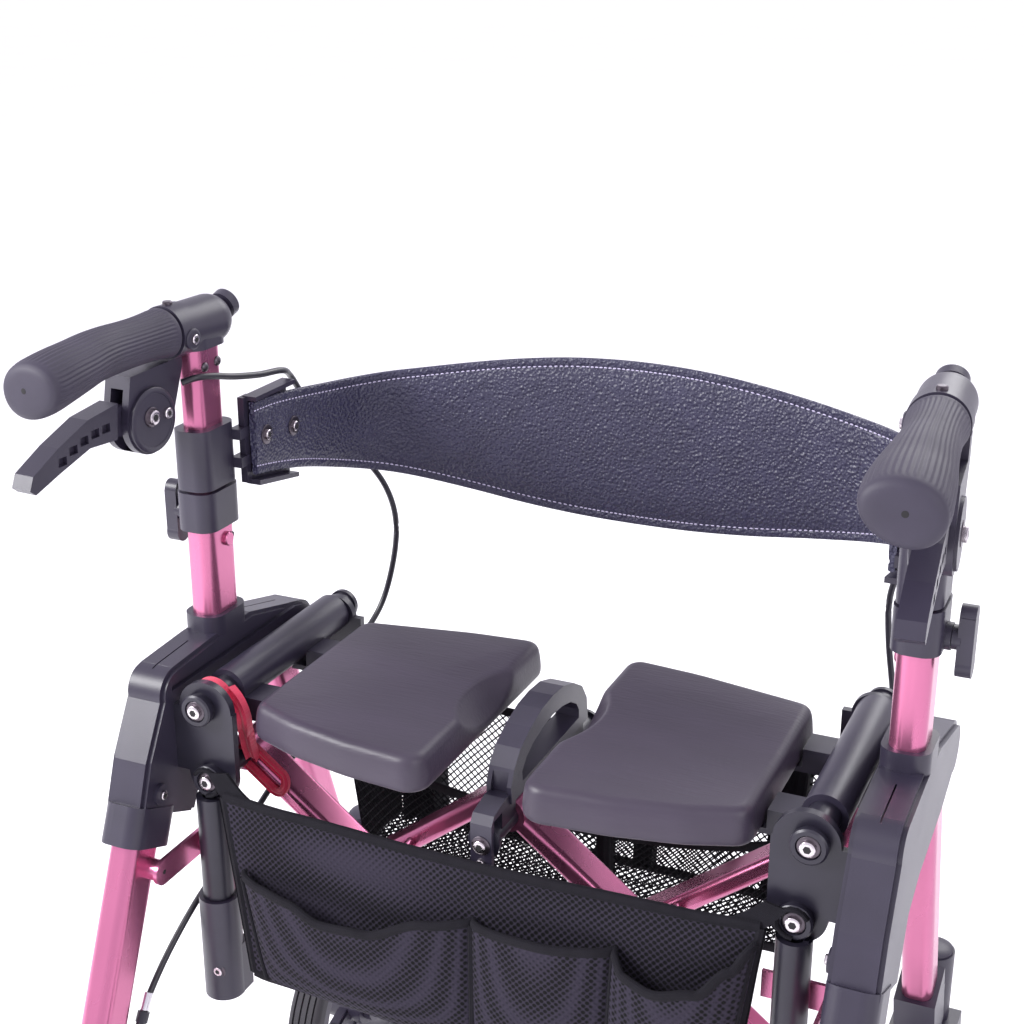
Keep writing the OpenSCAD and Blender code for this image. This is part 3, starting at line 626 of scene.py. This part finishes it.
# Each pocket's two sides, the line of its mouth below the seat rails, and how far it stands out.
POCKETS = {
    "left": (-184, 1, [(-184, -118), (-165, -121), (-140, -124), (-112, -133), (-78, -131), (-30, -113),
                       (1, -108)], 17),
    "middle": (1, 104, [(1, -108), (50, -106), (104, -102)], 14),
    "right": (104, 198, [(104, -102), (114, -113), (135, -116), (165, -108), (186, -88), (198, -72)], 19),
}
POCKET_COLS, POCKET_ROWS = 36, 18


def make_pocket(name, x0, x1, edge, bulge):
    """A gathered pocket, bound along its mouth and seamed down both sides."""
    def front(u, v):
        x = x0 + (x1 - x0) * u
        top = SR + lerp(edge, x)
        low = lerp(LOW, x) + 1
        xs = x * (1 - 0.09 * v * abs(x) / 200)
        out = bulge * (math.sin(math.pi * u) ** 0.45 if 0 < u < 1 else 0) * (1 - 0.35 * v - 0.55 * v ** 6)
        return (xs, -24.5 - out, top + (low - top) * v)

    cols, rows = POCKET_COLS, POCKET_ROWS
    p = slab("organiser_pocket_" + name, front, cols, rows, 3.2, MESH, "centre", "mesh_cloth")
    hung.append(p)
    mouth = [M(*(Vector(front(i / 60, 0)) + Vector((0, 0, 0.6)))) for i in range(61)]
    hung.append(tape("pocket_binding_" + name, mouth, flat_section(7.0, 4.6)))
    for q, e in (("a", 0.004), ("b", 0.996)):
        line = [M(*(Vector(front(e, i / 16)) + Vector((0, -1.2, 0)))) for i in range(17)]
        hung.append(tape(f"pocket_seam_{name}_{q}", line, flat_section(5.0, 3.4), AFT))


for name, pocket in POCKETS.items():
    make_pocket(name, *pocket)

LEVEL_TAPE, UPRIGHT_TAPE = flat_section(8.0, 5.0), flat_section(5.4, 8.0)
for name, pts, sec, up in (("top", [panel(i / 60, 0) for i in range(61)], LEVEL_TAPE, UP),
                           ("low", [panel(i / 60, 1) for i in range(61)], LEVEL_TAPE, UP),
                           ("side_left", [panel(0, i / 24) for i in range(25)], UPRIGHT_TAPE, AFT),
                           ("side_right", [panel(1, i / 24) for i in range(25)], UPRIGHT_TAPE, AFT)):
    hung.append(tape("organiser_binding_" + name, [M(*p) for p in pts], sec, up))


def make_ear(side, s):
    """The tapering tab from the panel's corner to its bolt, and its loop on the bolt."""
    def ear(u, v):
        a, b = Vector((s * 158, -20, SR - 62)), Vector((s * 197, -20, SR - 66))
        c, d = Vector((s * 200, -15, LRZ + 12)), Vector((s * 216, -15, LRZ + 9))
        p = a.lerp(b, u).lerp(c.lerp(d, u), v)
        return (p.x, p.y - 1.5 * math.sin(math.pi * v), p.z - 6 * math.sin(math.pi * v) * (1 - u))

    e = slab("organiser_tab_" + side, ear, 10, 14, 3.0, CLOTH, "centre", "mesh_cloth")
    hung.append(e)
    r = 10.5
    angles = [math.radians(30 + 24 * i) for i in range(11)]
    loop = [M(s * (LRX + r * math.cos(a)), -14.6, LRZ + r * math.sin(a)) for a in angles]
    tape("organiser_loop_" + side, loop, flat_section(5, 3.0), AFT, "side_" + side)


for side, s in SIDES.items():
    make_ear(side, s)
for o in hung:
    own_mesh(o)

# ---------------------------------------------------------------- shopping net
net_lo, net_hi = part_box("net_bag")
NX, NY0, NY1 = 188, net_lo.y * 1000 - SHIFT, net_hi.y * 1000 - SHIFT
NZ0, NZ1 = net_lo.z * 1000, net_hi.z * 1000


def net_wall(kind, u, v):
    """Points of the net: v runs down the wall."""
    x = -NX + 2 * NX * u
    sag = math.sin(math.pi * u)
    if kind == "front":
        top = NZ1 - 10 * sag
        return (x * (1 - 0.05 * v), NY1 - 3 - 8 * v + 3 * sag, top + (NZ0 + 4 - top) * v)
    if kind == "rear":
        top = NZ1 - 14 - 34 * sag ** 0.6
        return (x * (1 - 0.05 * v), NY0 + 3 + 8 * v - 2 * sag, top + (NZ0 + 4 - top) * v)
    return (x * 0.95, NY0 + 11 + (NY1 - NY0 - 22) * v, NZ0 + 4 - 2.5 * sag * math.sin(math.pi * v))


def net_piece(name, kind, cols, rows):
    """A wall of netting: a grid turned to diamonds, whose edges become cords."""
    d = bpy.data.meshes.new(name)
    verts, faces = [], []
    for i in range(cols + 1):
        for j in range(rows + 1):
            verts.append(M(*net_wall(kind, i / cols, j / rows)))
    w = rows + 1
    for i in range(cols):
        for j in range(rows):
            faces.append((i * w + j, (i + 1) * w + j, (i + 1) * w + j + 1, i * w + j + 1))
    d.from_pydata([tuple(v) for v in verts], [], faces)
    d.materials.append(CLOTH)
    o = bpy.data.objects.new(name, d)
    bpy.context.scene.collection.objects.link(o)
    bm = bmesh.new()
    bm.from_mesh(d)
    bmesh.ops.poke(bm, faces=bm.faces)
    diag = [e for e in bm.edges if abs((e.verts[0].co - e.verts[1].co).x) > 1e-5 and
            len(e.link_faces) == 2 and all(len(f.verts) == 3 for f in e.link_faces) and
            not any(len(v.link_edges) == 4 for v in e.verts)]
    bmesh.ops.dissolve_edges(bm, edges=diag, use_verts=False)
    bm.to_mesh(d)
    bm.free()
    wf = o.modifiers.new("cords", "WIREFRAME")
    wf.thickness, wf.use_replace, wf.use_even_offset = 0.0019, True, False
    applied(o)
    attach(o, "centre")
    return o


netting = []
CELL = 6.6
for kind, tall in (("front", 118), ("rear", 84), ("floor", 64)):
    netting.append(net_piece("net_" + kind, kind, int(2 * NX / CELL), int(tall / CELL)))
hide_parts("net_bag")


def make_net_end(side, s):
    """The cloth end of the net, and the tab that it hangs from."""
    def gusset(u, v):
        p = net_wall("front", 0.5 + 0.5 * s, v)
        q = net_wall("rear", 0.5 + 0.5 * s, v)
        r = Vector(p).lerp(Vector(q), u)
        return (r.x + s * 2 * math.sin(math.pi * u), r.y, r.z)

    netting.append(slab("net_end_" + side, gusset, 8, 10, 1.6, CLOTH, "centre", "mesh_cloth"))
    tab = [M(s * (NX - 2 + 24 * t), 157, NZ1 - 12 + 4 * t + 12 * t * t) for t in [i / 6 for i in range(7)]]
    netting.append(tape("net_tab_" + side, tab, flat_section(30, 2.4), FORE))


for side, s in SIDES.items():
    make_net_end(side, s)
for name, kind, v in (("rim_front", "front", 0), ("rim_rear", "rear", 0), ("low_front", "front", 1),
                      ("low_rear", "rear", 1)):
    line = [M(*net_wall(kind, i / 40, v)) for i in range(41)]
    netting.append(tape("net_" + name, line, flat_section(8.0, 2.6)))
for name, kind, u, wide in (("band_a", "front", 0.07, 30), ("band_b", "front", 0.62, 16),
                            ("band_c", "rear", 0.60, 12), ("band_d", "front", 0.93, 24)):
    line = [M(*(Vector(net_wall(kind, u, i / 12)) + Vector((0, -1.6, 0)))) for i in range(13)]
    netting.append(tape("net_" + name, line, flat_section(2.0, wide), FORE))
for o in netting:
    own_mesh(o)

# ---------------------------------------------------------------- red lock strap
def webbing(name, line, section, closed=False, up=FORE):
    """A strip of red webbing along a line."""
    return piece(name, *sweep(line, section, closed, up=up), RED, "side_left", "red_webbing")


EYE_TURN = math.radians(-37.5)
EYE_R, EYE_HALF = 8.6, 14    # the eye's end radius, and half of its straight sides
along = Vector((math.cos(EYE_TURN), 0, math.sin(EYE_TURN)))
across = Vector((-math.sin(EYE_TURN), 0, math.cos(EYE_TURN)))
eye_at = Vector((-199, 29.6, 483))
ring = []
for i in range(40):
    a = 2 * math.pi * i / 40
    end = EYE_HALF * (1 if math.cos(a) > 0 else -1)
    p = eye_at + along * (end + EYE_R * math.cos(a)) + across * (EYE_R * math.sin(a))
    ring.append(M(*(p + Vector((0, -1.2 * math.cos(2 * a), 0)))))
webbing("lock_strap_eye", ring, flat_section(2.6, 6.2), True, AFT)
BAND_R = 12.1                # the band's loop round the left seat rail
around = [(-RX + BAND_R * math.cos(math.radians(a)), 8.5, SR + BAND_R * math.sin(math.radians(a)))
          for a in range(300, 29, -15)]
hanging = [(-208.5, 10.5, SR - 1), (-204.5, 13, SR - 12), (-204, 18, SR - 26), (-206, 24, SR - 42),
           (-206, 28.6, SR - 54)]
band = webbing("lock_strap_band", [M(*p) for p in curve_points(around + hanging, 4)], flat_section(1.8, 9))
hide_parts("lock_strap")
doubled = curve_points([(-212.5, 12, SR + 8.5), (-205, 10, SR + 3), (-200, 9, SR - 6), (-200.5, 12, SR - 17),
                        (-204, 17, SR - 26)], 6)
webbing("lock_strap_fold", [M(*p) for p in doubled], flat_section(2.2, 9))

# ---------------------------------------------------------------- brake cables
# The route from the brake body to the rear leg, the same points as in the CAD.
CABLE_WAY = [(262.5, 50, 770), (254, 57, 773), (249, 72, 771), (246, 92, 766), (242, 120, 761),
             (241, 150, 757), (246, 170, 747), (249, 195, 722), (243, 225, 688), (232, 252, 660),
             (219, 268, 630), (211, 271, 600), (213, 270, 565), (221, 262, 525), (229, 238, 499),
             (236, 205, 476), (238, 150, 440), (238, 90, 420), (238, 40, 398), (243, 0, 378),
             (249, -34, 350), (250.8, -62, 325), (250.8, -84, 300)]
for side, s in SIDES.items():
    way = [mirrored(M(*p), s) for p in curve_points(CABLE_WAY, 8)]
    sleeve = sweep(way, circle(2.5, 14))
    cable = piece("brake_cable_sleeve_" + side, *sleeve, CABLE, None, "cable_black", True, 0)
    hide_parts("brake_cable_" + side)
    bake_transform(cable)

# ---------------------------------------------------------------- grips
# Along the grip: y, half width, height above and below its axis, and how far the axis is moved up.
GRIP = [(-95.5, 9, 8, 8, -8), (-95, 16, 13, 14, -8), (-93.5, 20.5, 16, 18, -8), (-90, 23, 18.4, 20.4, -8),
        (-80, 23.6, 19.4, 21.2, -7), (-66, 23.2, 19.2, 20.2, -5), (-50, 22, 18.4, 18.4, -3),
        (-34, 20, 18, 17, -1), (-18, 18.6, 17.5, 16.6, 0), (0, 17.6, 17, 16, 0), (18, 17.5, 17, 16, 0),
        (34, 18.5, 18, 17, 0), (40, 19, 18.6, 18, 0), (42.8, 17.4, 17, 16.4, 0)]
RIBS = 40
GRIP_POINTS = 192


def make_grip(side):
    """A ribbed rubber grip whose palm end swells toward the middle of the walker."""
    s = SIDES[side]
    prof = curve_points(GRIP, 5)
    verts = []
    for y, w, up, dn, drop in prof:
        palm = max(0.0, min(1.0, (-y - 10) / 60))
        for k in range(GRIP_POINTS):
            a = 2 * math.pi * k / GRIP_POINTS
            c, z = math.cos(a), math.sin(a)
            lean = 1 + 0.10 * palm * (1 if c < 0 else -0.6) * abs(c)
            rib = 1.0
            if -88 < y < 36 and -0.55 < z:
                rib = 1 + 0.016 * math.sin(RIBS * a) * min(1, (z + 0.55) * 3)
            half = up if z > 0 else dn
            height = GZ + drop + half * z * rib - 2.4 * palm * c
            verts.append(mirrored(T(HX + w * c * lean * rib, y, height), s))
    faces = skin(len(prof), GRIP_POINTS)
    g = piece("grip_sleeve_" + side, verts, faces, RUBBER, "post_" + side, "grip_rubber", True, 60)
    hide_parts("grip_" + side)
    # A small dark disc on the grip's end: painted shade in place of the hole.
    turned("grip_hole_" + side, [(2.0, -0.6), (2.0, 0.25), (1.6, 0.3)], mirrored(T(HX, -95.3, GZ - 8), s),
           (s * math.sin(YAW), -1, 0), 20, HOLE_SHADE, "post_" + side, "grip_rubber")


for side in SIDES:
    make_grip(side)

# ---------------------------------------------------------------- screws, rivets and small fittings
BOLT_Y = -13    # where the heads of the rail bolts sit, fore and aft


def handle_fittings(side, s):
    """Screws and covers of the clamp ring and the brake body, which are turned with the handle."""
    def at(x, y, z):
        return mirrored(T(x, y, z), s)

    post = "post_" + side
    inner, outer = (-s * math.cos(YAW), -math.sin(YAW), 0), (s * math.cos(YAW), math.sin(YAW), 0)
    turned("clamp_boss_" + side, [(7.6, -3), (7.6, 1.6), (6.6, 2.4), (5.4, 2.4)],
           at(HX - 18.4, 52, GZ - 4), inner, 32, PLASTIC, post, "black_plastic")
    screw("clamp_screw_" + side, at(HX - 20.0, 52, GZ - 4), inner, 3.6, post)
    turned("top_screw_" + side, [(3.6, -1), (3.6, 2.2), (2.9, 2.8)],
           at(HX, 50, GZ + 19), UP, 24, DARKSTEEL, post, "rod_steel")
    turned("brake_cover_" + side, [(23.5, -2.5), (23.5, 0.6), (22.4, 1.5), (19.5, 1.6), (19.2, 1.1)],
           at(BX - 13, 20, SR + 205), inner, 72, PLASTIC, post, "black_plastic")
    screw("brake_screw_a_" + side, at(BX - 14.4, 17, SR + 208), inner, 5.2, post, 7.2)
    screw("brake_screw_b_" + side, at(BX - 14.4, 33, SR + 207), inner, 4.0, post)
    screw("brake_bolt_" + side, at(BX + 13.0, 20, SR + 205), outer, 5.0, post, 8.0)


def post_fittings(side, s, at):
    """Rivets of the inner post, boss and stud of the outer post, and the housing ring's screw."""
    inner, frame_side = (-s, 0, 0), "side_" + side
    for k, y in enumerate((71, 87)):
        turned(f"post_rivet_{side}_{k}", [(3.8, -0.6), (3.8, 0.4), (3.0, 1.5), (1.5, 2.1)],
               at(SX - 9.5, y, SR + 232 + k), inner, 24, DARKSTEEL, "post_" + side, "rod_steel")
    turned("post_boss_" + side, [(5.4, -0.5), (5.4, 2.2), (4.6, 2.9)],
           at(SX - 12, 82, SR + 96), inner, 24, PINK, frame_side, "frame_pink")
    turned("post_stud_" + side, [(2.6, 0), (2.6, 1.0), (1.8, 1.5)],
           at(SX - 12, 88, SR + 97), inner, 20, DARKSTEEL, frame_side, "rod_steel")
    screw("ring_screw_" + side, at(SX - 19.4, -31, SR - 64), inner, 3.4, frame_side)


def rail_fittings(side, s, at):
    """Washered bolts and end caps of both rails, and the screws of the slider and the strut."""
    frame_side = "side_" + side
    cup = [(12.5, 0), (12.5, 3.2), (11.2, 4.4), (8.4, 4.4), (7.8, 3.0)]
    for tag, x, z, front_end in (("seat", RX, SR, 203.6), ("low", LRX, LRZ, 196.4)):
        turned(f"bolt_cup_{tag}_{side}", cup,
               at(x, BOLT_Y + 3, z), AFT, 48, METAL, frame_side, "black_metal")
        screw(f"rail_screw_{tag}_{side}", at(x, BOLT_Y - 0.2, z), AFT, 5.2, frame_side, 7.6)
        turned(f"rail_cap_{tag}_{side}", [(10, 0), (10, 2.4), (8.5, 3.6)],
               at(x, front_end, z), FORE, 40, METAL, frame_side, "black_metal")
    screw("slider_screw_" + side, at(LRX - 4, -21.0, 332), AFT, 3.6, "slider_" + side, 5.6)
    screw("strut_screw_" + side, at(243.4, -44, 425), (-s, 0, 0), 3.8, frame_side, 6.4)


def cable_end(side, at):
    """Ferrule and adjuster of the brake cable on the rear leg."""
    d = Vector((0, -14, -22)).normalized()
    base = at(250.8, -66, 321)
    turned("cable_ferrule_" + side, [(3.4, -9), (3.4, 4), (2.9, 5)],
           base, d, 24, STEEL, "side_" + side, "rod_steel")
    adjuster = lathe([(4.6, 5), (4.6, 13), (3.2, 14.5), (3.2, 20)], base, d, 12)
    piece("cable_adjuster_" + side, *adjuster, METAL, "side_" + side, "black_metal", True, 30)


def wheel_fittings(side, s, at):
    """Hub caps and axle bolts on both faces of each wheel, and the cap over the front swivel."""
    cap = [(13, -0.4), (13, 0.3), (11, 0.75), (5.6, 0.8)]
    for tag, arm, bolt_out in (("rear", "side_" + side, 0.025), ("front", "caster_" + side, 0.026)):
        lo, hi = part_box(f"{tag}_rim_{side}")
        c = (lo + hi) / 2
        for end, e in (("out", 1), ("in", -1)):
            face = (s * e, 0, 0)
            q = Vector((c.x + s * e * 0.0180, c.y, c.z))
            turned(f"hub_cap_{tag}_{side}_{end}", cap,
                   q, face, 40, METAL, f"{tag}_wheel_{side}", "black_metal")
            q = Vector((c.x + s * e * bolt_out, c.y, c.z))
            screw(f"axle_bolt_{tag}_{side}_{end}", q, face, 5.4, arm, 8.2)
    turned("swivel_cap_" + side, [(15.5, 0), (15.5, 2.0), (12, 4.0), (5, 4.6)],
           at(SX, 300, SR - 261), UP, 48, PLASTIC, "side_" + side, "black_plastic")


for side, s in SIDES.items():
    def at(x, y, z, s=s):
        return mirrored(M(x, y, z), s)

    handle_fittings(side, s)
    post_fittings(side, s, at)
    rail_fittings(side, s, at)
    cable_end(side, at)
    wheel_fittings(side, s, at)

# screws of the lifting handle at the rear end of the middle tube
screw("handle_screw_a", M(0, -9.6, LRZ - 1), AFT, 4.6, "centre", 7.0)
screw("handle_screw_b", M(0, -9.6, LRZ - 14.5), AFT, 3.0, "centre")

# ---------------------------------------------------------------- stage, light and camera
floor = bpy.data.meshes.new("floor")
floor.from_pydata([(-60, -60, 0), (60, -60, 0), (60, 60, 0), (-60, 60, 0)], [], [(0, 1, 2, 3)])
FLOOR = mat("floor_pale", (0.99, 0.99, 0.99), 0.6, 0, ("noise", 3, 0.01, (1, 1, 1)))
floor.materials.append(FLOOR)
fo = bpy.data.objects.new("floor", floor)
bpy.context.scene.collection.objects.link(fo)

world = bpy.data.worlds.new("studio")
bpy.context.scene.world = world
world.use_nodes = True
world.node_tree.nodes["Background"].inputs["Color"].default_value = (0.97, 0.94, 1.05, 1)
world.node_tree.nodes["Background"].inputs["Strength"].default_value = 1.08


def area(name, loc, target, size, power):
    """A round lamp that faces its target."""
    l = bpy.data.lights.new(name, "AREA")
    l.shape, l.size, l.energy = "DISK", size, power
    o = bpy.data.objects.new(name, l)
    o.location = loc
    o.rotation_mode = "QUATERNION"
    o.rotation_quaternion = (Vector(target) - Vector(loc)).to_track_quat("-Z", "Y")
    bpy.context.scene.collection.objects.link(o)


area("key", (-1.9, -1.5, 1.9), (0, 0, 0.55), 1.3, 95)
area("fill", (2.1, -1.2, 1.7), (0, 0, 0.5), 1.6, 16)
area("rim", (0.4, 2.2, 2.2), (0, 0, 0.6), 1.6, 30)

# Where the camera stands in metres, and how far it looks to the left of +Y and downward.
CAMERA_AT = (0.4177, -0.9281, 1.0858)
TURN, TILT = math.radians(24.08), math.radians(20.01)
cam = bpy.data.cameras.new("camera")
cam.lens, cam.sensor_width, cam.clip_start, cam.clip_end = 57.8, 36, 0.05, 40
co = bpy.data.objects.new("camera", cam)
bpy.context.scene.collection.objects.link(co)
back = Vector((math.sin(TURN) * math.cos(TILT), -math.cos(TURN) * math.cos(TILT), math.sin(TILT)))
right = Vector((math.cos(TURN), math.sin(TURN), 0))
upv = back.cross(right)
rows = [(right[i], upv[i], back[i], CAMERA_AT[i]) for i in range(3)]
co.matrix_world = Matrix(rows + [(0, 0, 0, 1)])
bpy.context.scene.camera = co
bpy.context.scene.view_settings.view_transform = "Standard"
